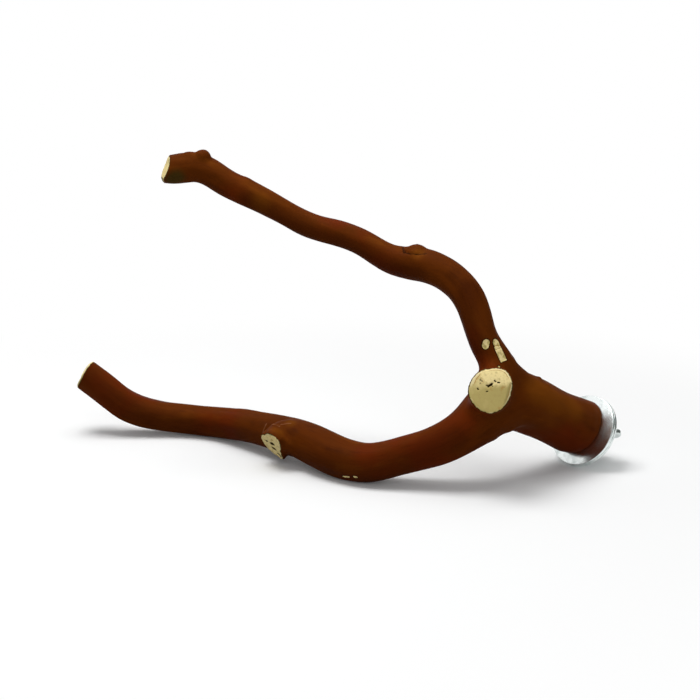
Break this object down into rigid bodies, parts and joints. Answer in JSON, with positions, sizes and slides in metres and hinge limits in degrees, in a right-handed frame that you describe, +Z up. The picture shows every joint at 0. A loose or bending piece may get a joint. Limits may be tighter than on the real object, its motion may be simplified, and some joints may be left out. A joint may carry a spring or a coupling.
{
  "type": "bird perch",
  "caption": "Forked natural-wood bird perch with sawn ends, fixed to cage bars by a hanger bolt, wide washers and a wing nut on its stem.",
  "frame": {"origin": "on the surface that the perch lies on, under the middle of its bounding box", "axes": "+X from the arms' tips towards the washers, +Y away from the viewer, +Z up, as the perch lies in the picture"},
  "size_m": [0.2904, 0.1219, 0.1598],
  "materials": {
    "bark_wood": "smooth satin bark with pale sawn ends",
    "zinc_steel": "bright zinc plate"
  },
  "bodies": {
    "branch": {"branch": "bark_wood", "hanger_bolt": "zinc_steel"},
    "inner_washer": {"inner_washer": "zinc_steel"},
    "outer_washer": {"outer_washer": "zinc_steel"},
    "wing_nut": {"wing_nut": "zinc_steel"}
  },
  "joints": [
    {"name": "inner_washer_turn", "type": "hinge", "parent": "branch", "child": "inner_washer", "pos_m": [0.12515, -0.00344, 0.01767], "axis": [0.6661, 0.5394, -0.515], "continuous": true},
    {"name": "outer_washer_slide", "type": "slide", "parent": "branch", "child": "outer_washer", "axis": [0.6661, 0.5394, -0.515], "range_m": [0, 0.00762]},
    {"name": "wing_nut_spin", "type": "hinge", "parent": "outer_washer", "child": "wing_nut", "pos_m": [0.12688, -0.00204, 0.01633], "axis": [0.6661, 0.5394, -0.515], "range_deg": [0, 2160]}
  ],
  "couplings": [
    {"joint": "outer_washer_slide", "follows": "wing_nut_spin", "m_per_rad": 0.00020213}
  ]
}
